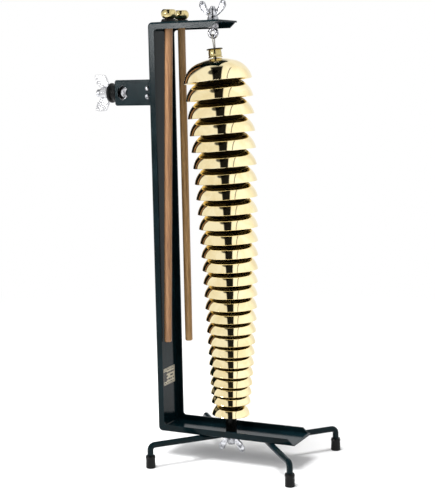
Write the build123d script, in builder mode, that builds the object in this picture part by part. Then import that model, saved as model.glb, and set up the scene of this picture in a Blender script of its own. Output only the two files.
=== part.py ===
from build123d import *

import math
import os

os.makedirs("parts", exist_ok=True)

# A bell tree: twenty-six graded brass bells strung on one cord inside a black steel C-frame.
# Millimetres. The origin is on the floor, midway along the object; +X runs from the post to the
# open side of the frame, +Y to the back and +Z up.

# Frame of folded sheet steel, a shallow channel whose flanges point inwards
half_length = 127.0        # the object's ends lie this far from the origin along X
post_x = -47.5             # outer face of the post
frame_width = 46.0         # the channel's width along Y
flange_depth = 7.2
sheet = 1.8
frame_bottom = 27.0        # underside of the bottom arm above the floor
frame_top = 459.0
top_arm_length = 80.5
bottom_arm_length = 156.8
end_cut = 8.0              # the flanges slope back by this much at each free end
outer_corner = 4.5
inner_corner = 3.2
fold_radius = 1.9

# Legs: two bent rods under the bottom arm
rod_radius = 3.175
tip_radius = 5.1
tip_height = 13.5
tip_floor = 2.0            # rubber left under the end of the rod
foot_x = (-34.6, half_length - tip_radius)   # where the feet of the left and right rods stand
foot_spread = 65.0         # feet in front of and behind the middle plane
leg_reach = 52.0           # from a pair of feet to the rod's turn under the arm
leg_bend = 5.0
leg_turn = 9.0

# Line that the bells hang on, a shallow bow between the stud and the ferrule
stud_x = post_x + 75.8
bow_x = post_x + 77.2
ferrule_x = post_x + 65.1
eye_x = post_x + 64.0
line_bottom = 50.0
line_top = 431.0
cord_radius = 1.0
strand_radius = 0.65

# Bells
bell_count = 26
top_rim_height = 397.7
top_bell_diameter = 70.8
bell_taper = 0.88          # each bell is smaller than the one above by this much,
bell_taper_growth = 0.0126   # and by a little more further down
top_pitch = 18.3           # from the first rim to the second
pitch_step = 0.371         # by which each pitch is shorter than the one above
last_bell_drop = 4.0       # the lowest bell hangs this much lower still
bell_wall = 1.0
bell_hole_radius = 1.5
crown_height = 0.66        # a bell's height, as a share of its rim radius
shoulder_radius = 0.61
shoulder_drop = 0.126
side_radius = 0.866
side_drop = 0.334
crown_mid_radius = 0.38
crown_mid_drop = 0.052
bead_radius = 2.8
bead_gap = 0.3             # left at each end of a bead, so that the bells turn freely

# M6 hardware on the line
m6_radius = 2.95
washer_radius = 6.6
washer_height = 1.2
hex_across_flats = 10.0
hex_height = 5.0
eye_ring_radius = 4.1      # centre line of the eye
eye_wire_radius = 1.9
eye_sunk = 0.3             # the eye's top is drawn into its nut by this much
bolt_stand = 13.5          # bolt above the washer
stud_bottom = 14.0
m6_nut_span = 15.0         # from the nut's axis to the tip of a wing
m6_nut_height = 19.0
m6_nut_hub = 5.8
wing_thickness = 0.17      # share of the half span
strand_gap = 1.0           # the strand's two ends leave the ferrule this far from its axis
strand_start = 0.1         # and this far above it
tube_radius = 5.9          # rubber tube round the stud
tube_gap = 1.2             # from the tube's top up to the middle of the lowest bell's underside

# Beaters
beater_x = post_x + 20.4
beater_y = 14.0
stick_radius = 4.0
front_stick_end = 123.4    # height of each stick's lower end
back_stick_end = 120.0
front_lean = 1.84          # degrees: the front stick hangs with its lower end towards the post
head_radius = 8.1
head_height = 9.4
head_bore_depth = 6.0
head_gap = 0.35            # between a head and its grommet
grommet_height = 3.0
grommet_lip = 1.6          # height of the lip under the sheet
grommet_lip_reach = 0.6    # of the lip, past the neck
grommet_neck_radius = 6.2
grommet_bore = 4.7

# Clamp for a mounting rod
clamp_z = 387.5
clamp_height = 27.0
clamp_length = 47.9
cheek = 2.0
block_width = 18.0
block_length = 14.0
rod_centre_x = post_x - 38.8
rod_bore = 5.2
eye_outer = 7.7
eye_width = 10.0
m8_radius = 3.95
m8_nut_span = 19.45
m8_nut_hub = 8.0
clamp_bolt_end = post_x - 76.0
sleeve_length = 11.8
sleeve_radius = 11.2
sleeve_waist = 8.2
screw_x = post_x - 8.6
screw_pitch = 8.6
screw_radius = 1.9
screw_head = 3.0
screw_grip = 7.0
window_rise = 8.2          # the cheeks' six-sided windows, from the rod's centre
window_reach = 5.75
window_shoulder = 4.0

# Label
label_z = 82.5
label_width = 27.0
label_height = 18.5
label_thickness = 0.2

fit = 0.05                 # radial clearance of a shaft in its bore


def save(part, name):
    """Label a finished sub-part and write its STEP file."""
    part.label = name
    export_step(part, f"parts/{name}.step")


def side_plane(base):
    """The plane through a base plane's x axis and its normal, for profiles of turned parts."""
    return Plane(origin=base.origin, x_dir=base.x_dir, z_dir=-base.y_dir)


def turned(base, points):
    """A closed profile of straight lines, (radius, height) on a base plane, turned about its normal."""
    with BuildPart() as piece:
        with BuildSketch(side_plane(base)):
            with BuildLine():
                Polyline(*points, close=True)
            make_face()
        revolve(axis=Axis(base.origin, base.z_dir))
    return piece.part


def ring(base, outer, inner, height):
    """A plain round washer, tube or bead standing on a base plane."""
    with BuildPart() as piece:
        with BuildSketch(base):
            Circle(outer)
            Circle(inner, mode=Mode.SUBTRACT)
        extrude(amount=height)
    return piece.part


# ---------------------------------------------------------------- frame
def frame_band(back, width, depth, cut, inner_radius):
    """The C of the frame as a flat band: depth inwards, and width forwards from back along Y."""
    top_end = post_x + top_arm_length
    bottom_end = post_x + bottom_arm_length
    with BuildPart() as band:
        with BuildSketch(Plane.XZ.offset(-back)):
            with BuildLine():
                Polyline(
                    (top_end, frame_top),
                    (post_x, frame_top),
                    (post_x, frame_bottom),
                    (bottom_end, frame_bottom),
                    (bottom_end - cut, frame_bottom + depth),
                    (post_x + depth, frame_bottom + depth),
                    (post_x + depth, frame_top - depth),
                    (top_end - cut, frame_top - depth),
                    close=True,
                )
            make_face()
        extrude(amount=width)
        uprights = band.edges().filter_by(Axis.Y).group_by(Axis.X)
        fillet(uprights[0], outer_corner)
        uprights = band.edges().filter_by(Axis.Y)
        fillet([edge for edge in uprights if abs((edge @ 0.5).X - post_x - depth) < 0.01], inner_radius)
    return band.part


def on_outer_fold(edge):
    """True for an edge between the web's outside and the outside of a flange."""
    middle = edge @ 0.5
    on_side = abs(abs(middle.Y) - frame_width / 2) < 0.01
    on_back = middle.X < post_x + outer_corner / 2
    on_arm = middle.Z > frame_top - 0.01 or middle.Z < frame_bottom + 0.01
    return on_side and (on_back or on_arm)


web = frame_band(frame_width / 2, frame_width, sheet, 0.0, outer_corner - sheet)
back_flange = frame_band(frame_width / 2, sheet, flange_depth, end_cut, inner_corner)
front_flange = frame_band(sheet - frame_width / 2, sheet, flange_depth, end_cut, inner_corner)

with BuildPart() as frame_shell:
    add(web)
    add(back_flange)
    add(front_flange)
    fillet([edge for edge in frame_shell.edges() if on_outer_fold(edge)], fold_radius)

top_mitre = Plane(origin=(post_x, 0, frame_top), z_dir=(1, 0, 1))
bottom_mitre = Plane(origin=(post_x, 0, frame_bottom), z_dir=(1, 0, -1))

with BuildPart() as frame_post:
    add(frame_shell.part)
    split(bisect_by=top_mitre, keep=Keep.BOTTOM)
    split(bisect_by=bottom_mitre, keep=Keep.BOTTOM)
save(frame_post.part, "frame_post")

with BuildPart() as frame_top_arm:
    add(frame_shell.part)
    split(bisect_by=top_mitre, keep=Keep.TOP)
    with BuildSketch(Plane.XY.offset(frame_top)):
        with Locations((eye_x, 0)):
            Circle(m6_radius + 0.4)
        with Locations((beater_x, beater_y), (beater_x, -beater_y)):
            Circle(grommet_neck_radius + fit)
    extrude(amount=-sheet, mode=Mode.SUBTRACT)
save(frame_top_arm.part, "frame_top_arm")

with BuildPart() as frame_bottom_arm:
    add(frame_shell.part)
    split(bisect_by=bottom_mitre, keep=Keep.TOP)
    with BuildSketch(Plane.XY.offset(frame_bottom)):
        with Locations((stud_x, 0)):
            Circle(m6_radius + 0.4)
    extrude(amount=sheet, mode=Mode.SUBTRACT)
save(frame_bottom_arm.part, "frame_bottom_arm")

# ---------------------------------------------------------------- legs
def leg_rod(name, feet_x, apex_x):
    """A rod that runs from one foot up, in under the arm, round its turn and out to the other foot."""
    run_height = frame_bottom - rod_radius
    with BuildPart() as rod:
        with BuildLine() as path:
            FilletPolyline(
                (feet_x, -foot_spread, tip_floor),
                (feet_x, -foot_spread, run_height),
                (apex_x, 0, run_height),
                (feet_x, foot_spread, run_height),
                (feet_x, foot_spread, tip_floor),
                radius=(leg_bend, leg_turn, leg_bend),
            )
        with BuildSketch(Plane(origin=path.line @ 0, z_dir=path.line % 0)):
            Circle(rod_radius)
        sweep(path=path.line)
    save(rod.part, name)


# The turn of each rod is moved in by what its rounding takes away, so that it ends at leg_reach.
turn_angle = math.atan2(foot_spread, leg_reach)
turn_setback = leg_turn * (1 / math.sin(turn_angle) - 1)
leg_rod("leg_rod_left", foot_x[0], foot_x[0] + leg_reach + turn_setback)
leg_rod("leg_rod_right", foot_x[1], foot_x[1] - leg_reach - turn_setback)

foot_points = [(x, y) for x in foot_x for y in (-foot_spread, foot_spread)]
with BuildPart() as rubber_feet:
    with BuildSketch():
        with Locations(*foot_points):
            Circle(tip_radius)
    extrude(amount=tip_height)
    fillet(rubber_feet.edges().group_by(Axis.Z)[0], 0.8)
    fillet(rubber_feet.edges().group_by(Axis.Z)[-1], 0.8)
    with BuildSketch(Plane.XY.offset(tip_floor)):
        with Locations(*foot_points):
            Circle(rod_radius)
    extrude(amount=tip_height, mode=Mode.SUBTRACT)
save(rubber_feet.part, "rubber_feet")


# ---------------------------------------------------------------- the line of bells
stack_line = ThreePointArc(
    (stud_x, 0, line_bottom),
    (bow_x, 0, (line_bottom + line_top) / 2),
    (ferrule_x, 0, line_top),
)


def line_plane(height):
    """The plane across the line at a height, with its x axis to the right and its normal up the line."""
    share = (height - line_bottom) / (line_top - line_bottom)
    upward = stack_line % share
    return Plane(origin=stack_line @ share, x_dir=Vector(upward.Z, 0, -upward.X), z_dir=upward)


def bell_radius(index):
    """Rim radius of a bell, counted from the top."""
    return (top_bell_diameter - bell_taper * index - bell_taper_growth * index**2) / 2


def rim_height(index):
    """Height of a bell's rim above the floor."""
    drop = top_pitch * index - pitch_step * index * (index - 1) / 2
    if index == bell_count - 1:
        drop += last_bell_drop
    return top_rim_height - drop


def crown_top(index):
    """Height of the top of a bell's crown above the floor."""
    return rim_height(index) + crown_height * bell_radius(index)


def bell(index):
    """A spun brass cup: a low crown, a round shoulder and a steep side, of one wall thickness."""
    rim = bell_radius(index)
    base = line_plane(crown_top(index))
    crown_slope = math.atan2(shoulder_drop - crown_mid_drop, shoulder_radius - crown_mid_radius)
    side_slope = math.atan2(side_drop - shoulder_drop, side_radius - shoulder_radius)
    crown_in = Vector(-math.sin(crown_slope), -math.cos(crown_slope)) * bell_wall
    side_in = Vector(-math.sin(side_slope), -math.cos(side_slope)) * bell_wall
    hole = Vector(bell_hole_radius, 0)
    crown = Vector(crown_mid_radius * rim, -crown_mid_drop * rim)
    shoulder = Vector(shoulder_radius * rim, -shoulder_drop * rim)
    side = Vector(side_radius * rim, -side_drop * rim)
    lip = Vector(rim, -crown_height * rim)
    with BuildPart() as cup:
        with BuildSketch(side_plane(base)):
            with BuildLine():
                ThreePointArc(hole, crown, shoulder)
                ThreePointArc(shoulder, side, lip)
                Line(lip, lip - Vector(bell_wall, 0))
                ThreePointArc(lip - Vector(bell_wall, 0), side + side_in, shoulder + crown_in)
                ThreePointArc(shoulder + crown_in, crown + crown_in, hole - Vector(0, bell_wall))
                Line(hole - Vector(0, bell_wall), hole)
            make_face()
        revolve(axis=Axis(base.origin, base.z_dir))
    return cup.part


for index in range(bell_count):
    save(bell(index), f"bell_{index + 1:02d}")

# Beads on the line hold the bells apart, one between each bell's underside and the next crown.
with BuildPart() as spacer_beads:
    for index in range(bell_count - 1):
        bottom = crown_top(index + 1) + bead_gap
        length = crown_top(index) - bell_wall - bead_gap - bottom
        add(ring(line_plane(bottom), bead_radius, bell_hole_radius, length))
save(spacer_beads.part, "spacer_beads")

with BuildPart() as line_cord:
    with BuildSketch(line_plane(line_bottom)):
        Circle(cord_radius)
    sweep(path=stack_line)
save(line_cord.part, "line_cord")

# Brass ferrule that closes the line above the top bell
ferrule_base = line_plane(crown_top(0) + bead_gap)
ferrule_height = line_top - crown_top(0) - bead_gap
ferrule_profile = [
    (cord_radius + fit, 0),
    (7.4, 0),
    (7.4, 1.2),
    (6.7, 2.0),
    (6.7, ferrule_height - 2.6),
    (8.4, ferrule_height - 1.4),
    (8.4, ferrule_height - 0.5),
    (7.9, ferrule_height),
    (cord_radius + fit, ferrule_height),
]
save(turned(ferrule_base, ferrule_profile), "top_ferrule")

# Rubber tube that stands on the bottom arm and carries the lowest bell
tube_bottom = frame_bottom + sheet
tube_top = crown_top(bell_count - 1) - bell_wall - tube_gap
with BuildPart() as rest_tube:
    with BuildSketch(Plane.XY.offset(tube_bottom)):
        with Locations((stud_x, 0)):
            Circle(tube_radius)
            Circle(m6_radius + fit, mode=Mode.SUBTRACT)
    extrude(amount=tube_top - tube_bottom)
save(rest_tube.part, "rest_tube")

with BuildPart() as bottom_stud:
    with BuildSketch(Plane.XY.offset(stud_bottom)):
        with Locations((stud_x, 0)):
            Circle(m6_radius)
    extrude(amount=line_bottom - stud_bottom - fit)
    chamfer(bottom_stud.edges().group_by(Axis.Z)[0], 0.7)
save(bottom_stud.part, "bottom_stud")


# ---------------------------------------------------------------- wing nuts and washers
def wing_nut(base, bore, half_span, height, hub, wing):
    """A cast wing nut on a base plane, its wings along the plane's x axis.

    The wing's outline is given in shares of the half span and of the height.
    """
    hub_profile = [
        (bore, 0),
        (hub, 0),
        (hub, 0.08 * height),
        (0.84 * hub, 0.17 * height),
        (0.78 * hub, 0.48 * height),
        (0.66 * hub, 0.56 * height),
        (bore, 0.6 * height),
    ]
    thickness = wing_thickness * half_span
    with BuildPart() as nut:
        add(turned(base, hub_profile))
        for turn in (1, -1):
            with BuildSketch(side_plane(base).offset(-thickness / 2)) as outline:
                with BuildLine():
                    Polyline(*[(turn * x * half_span, y * height) for x, y in wing], close=True)
                make_face()
                fillet(outline.vertices().group_by(Axis.Y)[-1], 0.12 * half_span)
            extrude(amount=thickness)
    return nut.part


slim_wing = [
    (0.27, 0.14),
    (0.49, 0.29),
    (0.78, 0.47),
    (1.0, 0.72),
    (0.93, 1.0),
    (0.62, 1.0),
    (0.48, 0.74),
    (0.36, 0.55),
    (0.27, 0.5),
]
broad_wing = [
    (0.29, 0.06),
    (0.62, 0.12),
    (1.0, 0.32),
    (1.0, 1.0),
    (0.55, 0.86),
    (0.29, 0.62),
]
top_nut_base = Plane(origin=(eye_x, 0, frame_top + washer_height), x_dir=(1, 0, 0), z_dir=(0, 0, 1))
top_nut = wing_nut(top_nut_base, m6_radius + fit, m6_nut_span, m6_nut_height, m6_nut_hub, slim_wing)
save(top_nut, "wing_nut_top")
save(ring(Plane((eye_x, 0, frame_top)), washer_radius, m6_radius + fit, washer_height), "washer_top")

low_nut_base = Plane(origin=(stud_x, 0, frame_bottom - washer_height), x_dir=(1, 0, 0), z_dir=(0, 0, -1))
low_nut = wing_nut(low_nut_base, m6_radius + fit, m6_nut_span, m6_nut_height, m6_nut_hub, slim_wing)
save(low_nut, "wing_nut_bottom")
low_washer_base = Plane((stud_x, 0, frame_bottom - washer_height))
save(ring(low_washer_base, washer_radius, m6_radius + fit, washer_height), "washer_bottom")


# ---------------------------------------------------------------- eye bolt and the cord that hangs from it
web_underside = frame_top - sheet
eye_z = web_underside - hex_height - eye_ring_radius - eye_wire_radius + eye_sunk
bolt_end = frame_top + washer_height + bolt_stand
with BuildPart() as eye_bolt:
    with BuildSketch(Plane.XY.offset(eye_z)):
        with Locations((eye_x + eye_ring_radius, 0)):
            Circle(eye_wire_radius)
    revolve(axis=Axis((eye_x, 0, eye_z), (0, 1, 0)))
    with BuildSketch(Plane.XY.offset(eye_z + eye_ring_radius)):
        with Locations((eye_x, 0)):
            Circle(m6_radius)
    extrude(amount=bolt_end - eye_z - eye_ring_radius)
    chamfer(eye_bolt.edges().group_by(Axis.Z)[-1], 0.7)
save(eye_bolt.part, "eye_bolt")

with BuildPart() as eye_bolt_nut:
    with BuildSketch(Plane.XY.offset(web_underside - hex_height)):
        with Locations((eye_x, 0)):
            RegularPolygon(hex_across_flats / 2, 6, major_radius=False)
            Circle(m6_radius + fit, mode=Mode.SUBTRACT)
    extrude(amount=hex_height)
save(eye_bolt_nut.part, "eye_bolt_nut")

# The strand leaves the ferrule, goes up one side of the eye's wire, over it and down the other side.
ferrule_top = ferrule_base.origin + ferrule_base.z_dir * ferrule_height
eye_wire = Vector(eye_x, 0, eye_z - eye_ring_radius)
strand_rise = (eye_wire - ferrule_top).length
strand_plane = Plane(origin=ferrule_top, x_dir=(0, 1, 0), z_dir=Vector(0, 1, 0).cross(eye_wire - ferrule_top))
loop_radius = eye_wire_radius + strand_radius + fit
reach = math.hypot(strand_rise, strand_gap)
leave_angle = math.atan2(strand_gap, strand_rise) - math.asin(loop_radius / reach)
leave = Vector(loop_radius * math.cos(leave_angle), strand_rise + loop_radius * math.sin(leave_angle))
with BuildPart() as hanger_cord:
    with BuildLine(strand_plane) as strand_path:
        Line((-strand_gap, strand_start), (-leave.X, leave.Y))
        ThreePointArc((-leave.X, leave.Y), (0, strand_rise + loop_radius), (leave.X, leave.Y))
        Line((leave.X, leave.Y), (strand_gap, strand_start))
    with BuildSketch(Plane(origin=strand_path.line @ 0, z_dir=strand_path.line % 0)):
        Circle(strand_radius)
    sweep(path=strand_path.line)
save(hanger_cord.part, "hanger_cord")


# ---------------------------------------------------------------- beaters
def beater_axis_plane(y, lean):
    """The plane across a beater at the top arm, with its normal up along the leaning stick."""
    tilt = math.radians(lean)
    return Plane(
        origin=(beater_x, y, frame_top),
        x_dir=(math.cos(tilt), 0, -math.sin(tilt)),
        z_dir=(math.sin(tilt), 0, math.cos(tilt)),
    )


def beater(y, lean, end_height, side):
    """A wooden stick that hangs through the top arm by its barrel-shaped brass head."""
    base = beater_axis_plane(y, lean).offset(grommet_height + head_gap)
    length = (base.origin.Z - end_height) / base.z_dir.Z
    with BuildPart() as stick:
        with BuildSketch(base.offset(-length)):
            Circle(stick_radius)
        extrude(amount=length + head_bore_depth)
        fillet(stick.edges().filter_by(GeomType.CIRCLE).group_by(Axis.Z)[0], 1.5)
    save(stick.part, f"beater_stick_{side}")
    head_profile = [
        (stick_radius + fit, 0),
        (5.5, 0),
        (head_radius - 0.5, 0.28 * head_height),
        (head_radius, 0.45 * head_height),
        (head_radius, 0.6 * head_height),
        (head_radius - 0.6, 0.84 * head_height),
        (6.2, head_height),
        (0, head_height),
        (0, head_bore_depth + fit),
        (stick_radius + fit, head_bore_depth + fit),
    ]
    save(turned(base, head_profile), f"beater_head_{side}")


beater(-beater_y, front_lean, front_stick_end, "front")
beater(beater_y, 0, back_stick_end, "back")

grommet_profile = [
    (grommet_bore, -sheet - grommet_lip),
    (grommet_neck_radius + grommet_lip_reach, -sheet - grommet_lip),
    (grommet_neck_radius + grommet_lip_reach, -sheet),
    (grommet_neck_radius, -sheet),
    (grommet_neck_radius, 0),
    (grommet_neck_radius + 2.0, 0),
    (grommet_neck_radius + 0.4, grommet_height),
    (grommet_bore, grommet_height),
]
with BuildPart() as beater_grommets:
    for y in (-beater_y, beater_y):
        add(turned(Plane((beater_x, y, frame_top)), grommet_profile))
save(beater_grommets.part, "beater_grommets")


# ---------------------------------------------------------------- rod clamp on the post
cheek_outer = block_width / 2 + cheek
screw_points = [(screw_x, clamp_z - screw_pitch / 2), (screw_x, clamp_z + screw_pitch / 2)]

with BuildPart() as clamp_bracket:
    with BuildSketch(Plane.XY.offset(clamp_z - clamp_height / 2)):
        with Locations((post_x, 0)):
            Rectangle(clamp_length, block_width + 2 * cheek, align=(Align.MAX, Align.CENTER))
        with Locations((post_x - cheek, 0)):
            Rectangle(clamp_length, block_width, align=(Align.MAX, Align.CENTER), mode=Mode.SUBTRACT)
    extrude(amount=clamp_height)
    fillet(clamp_bracket.edges().filter_by(Axis.Z).group_by(Axis.X)[-1], 1.5)
    fillet(clamp_bracket.edges().filter_by(Axis.Y).group_by(Axis.X)[0], 2.5)
    with BuildSketch(Plane.XZ.offset(cheek_outer)):
        with Locations((rod_centre_x, clamp_z)):
            Polygon(
                (0, window_rise),
                (window_reach, window_shoulder),
                (window_reach, -window_shoulder),
                (0, -window_rise),
                (-window_reach, -window_shoulder),
                (-window_reach, window_shoulder),
                align=None,
            )
        with Locations(*screw_points):
            Circle(screw_radius + fit)
    extrude(amount=-2 * cheek_outer, mode=Mode.SUBTRACT)
save(clamp_bracket.part, "clamp_bracket")

with BuildPart() as clamp_block:
    with BuildSketch(Plane.XZ.offset(block_width / 2)):
        with Locations((post_x - cheek - block_length / 2, clamp_z)):
            Rectangle(block_length, clamp_height - 3)
        with Locations(*screw_points):
            Circle(screw_radius + fit, mode=Mode.SUBTRACT)
    extrude(amount=-block_width)
    chamfer(clamp_block.edges().filter_by(Axis.Y).group_by(Axis.X)[0], 1.0)
save(clamp_block.part, "clamp_block")

screw_profile = [
    (0, -screw_grip),
    (screw_radius, -screw_grip),
    (screw_radius, 0),
    (screw_head, 0),
    (screw_head, 0.8),
    (0.86 * screw_head, 1.5),
    (0.6 * screw_head, 2.0),
    (0.3 * screw_head, 2.2),
    (0, 2.2),
]
with BuildPart() as clamp_screws:
    for side in (-1, 1):
        for x, z in screw_points:
            seat = Plane(origin=(x, side * cheek_outer, z), x_dir=(1, 0, 0), z_dir=(0, side, 0))
            add(turned(seat, screw_profile))
save(clamp_screws.part, "clamp_screws")

# The eye takes the mounting rod along Y; its shank runs out through the sleeve to the wing nut.
with BuildPart() as clamp_eye_bolt:
    with BuildSketch(Plane.XZ.offset(eye_width / 2)):
        with Locations((rod_centre_x, clamp_z)):
            Circle(eye_outer)
            Circle(rod_bore, mode=Mode.SUBTRACT)
    extrude(amount=-eye_width)
    rims = clamp_eye_bolt.edges().filter_by(GeomType.CIRCLE)
    chamfer(rims.sort_by(SortBy.RADIUS)[-2:], 0.8)
    with BuildSketch(Plane(origin=(rod_centre_x - rod_bore - 1, 0, clamp_z), z_dir=(-1, 0, 0))):
        Circle(m8_radius)
    extrude(amount=rod_centre_x - rod_bore - 1 - clamp_bolt_end)
    chamfer(clamp_eye_bolt.edges().group_by(Axis.X)[0], 0.8)
save(clamp_eye_bolt.part, "clamp_eye_bolt")

sleeve_base = Plane(origin=(post_x - clamp_length, 0, clamp_z), x_dir=(0, 0, 1), z_dir=(-1, 0, 0))
sleeve_profile = [
    (m8_radius + fit, 0),
    (sleeve_radius - 0.8, 0),
    (sleeve_radius, 0.08 * sleeve_length),
    (sleeve_radius, 0.24 * sleeve_length),
    (sleeve_waist, 0.36 * sleeve_length),
    (sleeve_waist, 0.62 * sleeve_length),
    (sleeve_radius - 0.6, 0.74 * sleeve_length),
    (sleeve_radius - 0.6, 0.92 * sleeve_length),
    (sleeve_radius - 1.4, sleeve_length),
    (m8_radius + fit, sleeve_length),
]
save(turned(sleeve_base, sleeve_profile), "clamp_sleeve")

clamp_nut_base = sleeve_base.offset(sleeve_length + fit)
clamp_nut_height = half_length + clamp_nut_base.origin.X
clamp_nut = wing_nut(clamp_nut_base, m8_radius + fit, m8_nut_span, clamp_nut_height, m8_nut_hub, broad_wing)
save(clamp_nut, "clamp_wing_nut")


# ---------------------------------------------------------------- label on the inside of the post
with BuildPart() as label_plate:
    with BuildSketch(Plane(origin=(post_x + sheet, 0, label_z), x_dir=(0, 1, 0), z_dir=(1, 0, 0))):
        Rectangle(label_width, label_height)
    extrude(amount=label_thickness)
save(label_plate.part, "label_plate")
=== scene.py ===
"""A bell tree: graded brass bells strung on one cord inside a black steel C-frame."""

import cmath
import logging
import math
from collections.abc import Iterable, Sequence
from dataclasses import dataclass
from enum import Enum

import bmesh
import bpy
from mathutils import Matrix, Vector


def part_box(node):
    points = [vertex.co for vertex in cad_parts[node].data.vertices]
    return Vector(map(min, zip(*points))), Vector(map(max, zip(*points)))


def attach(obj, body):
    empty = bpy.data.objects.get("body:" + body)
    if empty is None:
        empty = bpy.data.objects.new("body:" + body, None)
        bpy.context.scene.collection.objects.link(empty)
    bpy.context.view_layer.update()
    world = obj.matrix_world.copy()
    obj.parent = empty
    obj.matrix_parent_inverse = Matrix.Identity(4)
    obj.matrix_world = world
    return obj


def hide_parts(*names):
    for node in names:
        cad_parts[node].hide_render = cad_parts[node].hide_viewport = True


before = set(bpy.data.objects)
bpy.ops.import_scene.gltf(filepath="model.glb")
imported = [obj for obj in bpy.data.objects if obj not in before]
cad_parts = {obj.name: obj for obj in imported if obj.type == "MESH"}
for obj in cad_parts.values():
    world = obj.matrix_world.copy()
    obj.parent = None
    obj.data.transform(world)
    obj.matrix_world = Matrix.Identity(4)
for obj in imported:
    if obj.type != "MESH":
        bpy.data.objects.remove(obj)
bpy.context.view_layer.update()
log = logging.getLogger("bell_tree")

MM = 0.001
FULL_TURN = 2 * math.pi
Point = tuple[float, float]
Colour = tuple[float, float, float]
Corner = tuple[float, float, float]
Socket = bpy.types.NodeSocket


# ---------------------------------------------------------------- node graphs
class NodeBench:
    """The node graph of one material, with short calls for the nodes that the finishes share."""

    def __init__(self, name: str) -> None:
        """Starts an empty graph with one Principled shader.

        Args:
            name: Name of the new material.
        """
        self.material = bpy.data.materials.new(name)
        self.material.use_nodes = True
        self.tree = self.material.node_tree
        self.tree.nodes.clear()
        self.shader = self.add("ShaderNodeBsdfPrincipled")
        output = self.add("ShaderNodeOutputMaterial")
        self.join(self.shader.outputs["BSDF"], output.inputs["Surface"])

    def add(self, kind: str, **settings: object) -> bpy.types.Node:
        """Adds a node.

        Args:
            kind: Blender's name for the node type.
            **settings: Properties of the node.

        Returns:
            The new node.
        """
        node = self.tree.nodes.new(kind)
        for key, value in settings.items():
            setattr(node, key, value)
        return node

    def join(self, source: Socket, target: Socket) -> None:
        """Links an output to an input."""
        self.tree.links.new(source, target)

    def blend(self, share: Socket, below: Socket, above: Colour) -> Socket:
        """Mixes a colour over another one.

        Args:
            share: How much of the upper colour shows.
            below: The lower colour.
            above: The upper colour.

        Returns:
            The mixed colour.
        """
        node = self.add("ShaderNodeMix", data_type="RGBA")
        self.join(share, node.inputs["Factor"])
        self.join(below, node.inputs["A"])
        node.inputs["B"].default_value = (*above, 1)
        return node.outputs["Result"]

    def set(self, **values: object) -> None:
        """Sets constant values on the shader, with underscores for the spaces in socket names."""
        for key, value in values.items():
            self.shader.inputs[key.replace("_", " ")].default_value = value

    def coat(self, colour: Socket, roughness: Socket) -> None:
        """Links the shader's colour and roughness."""
        self.join(colour, self.shader.inputs["Base Color"])
        self.join(roughness, self.shader.inputs["Roughness"])

    def place(self, stretch: Sequence[float] = (1, 1, 1)) -> Socket:
        """Object coordinates, stretched.

        Args:
            stretch: Scale along each axis.

        Returns:
            The vector output.
        """
        source = self.add("ShaderNodeTexCoord")
        mapping = self.add("ShaderNodeMapping")
        mapping.inputs["Scale"].default_value = stretch
        self.join(source.outputs["Object"], mapping.inputs["Vector"])
        return mapping.outputs["Vector"]

    def noise(
        self,
        vector: Socket,
        scale: float,
        detail: float = 3,
        roughness: float = 0.55,
        distortion: float = 0,
    ) -> Socket:
        """A noise pattern.

        Args:
            vector: Where the pattern is read.
            scale: Cells per unit.
            detail: Octaves.
            roughness: Share of each finer octave.
            distortion: Swirl.

        Returns:
            The value output.
        """
        node = self.add("ShaderNodeTexNoise")
        node.inputs["Scale"].default_value = scale
        node.inputs["Detail"].default_value = detail
        node.inputs["Roughness"].default_value = roughness
        node.inputs["Distortion"].default_value = distortion
        self.join(vector, node.inputs["Vector"])
        return node.outputs["Fac"]

    def attribute(self, name: str) -> Socket:
        """The value of a named attribute of the mesh."""
        return self.add("ShaderNodeAttribute", attribute_name=name).outputs["Fac"]

    def ramp(self, value: Socket, stops: Sequence[tuple[float, Colour]]) -> Socket:
        """A colour ramp.

        Args:
            value: What drives the ramp.
            stops: Position and colour of each stop, in order.

        Returns:
            The colour output.
        """
        node = self.add("ShaderNodeValToRGB")
        ramp = node.color_ramp
        for position, _ in stops[2:]:
            ramp.elements.new(position)
        for element, (position, colour) in zip(ramp.elements, stops):
            element.position = position
            element.color = (*colour, 1)
        self.join(value, node.inputs["Fac"])
        return node.outputs["Color"]

    def spread(self, value: Socket, low: float, high: float) -> Socket:
        """Maps 0.25..0.75 of a pattern to a range.

        Args:
            value: The pattern.
            low: Result at 0.25.
            high: Result at 0.75.

        Returns:
            The mapped value.
        """
        node = self.add("ShaderNodeMapRange")
        node.inputs["From Min"].default_value = 0.25
        node.inputs["From Max"].default_value = 0.75
        node.inputs["To Min"].default_value = low
        node.inputs["To Max"].default_value = high
        self.join(value, node.inputs["Value"])
        return node.outputs["Result"]

    def math(self, operation: str, a: Socket, b: Socket | float) -> Socket:
        """A math node.

        Args:
            operation: Blender's name for the operation.
            a: First value.
            b: Second value, a socket or a number.

        Returns:
            The result.
        """
        node = self.add("ShaderNodeMath", operation=operation)
        self.join(a, node.inputs[0])
        if isinstance(b, Socket):
            self.join(b, node.inputs[1])
        else:
            node.inputs[1].default_value = b
        return node.outputs["Value"]

    def bump(self, height: Socket, distance: float, strength: float) -> None:
        """Adds relief to the shader's normal, on top of what is there.

        Args:
            height: The relief.
            distance: Its depth in metres.
            strength: Its share.
        """
        node = self.add("ShaderNodeBump")
        node.inputs["Distance"].default_value = distance
        node.inputs["Strength"].default_value = strength
        self.join(height, node.inputs["Height"])
        target = self.shader.inputs["Normal"]
        if target.is_linked:
            self.join(target.links[0].from_socket, node.inputs["Normal"])
        self.join(node.outputs["Normal"], target)


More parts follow.
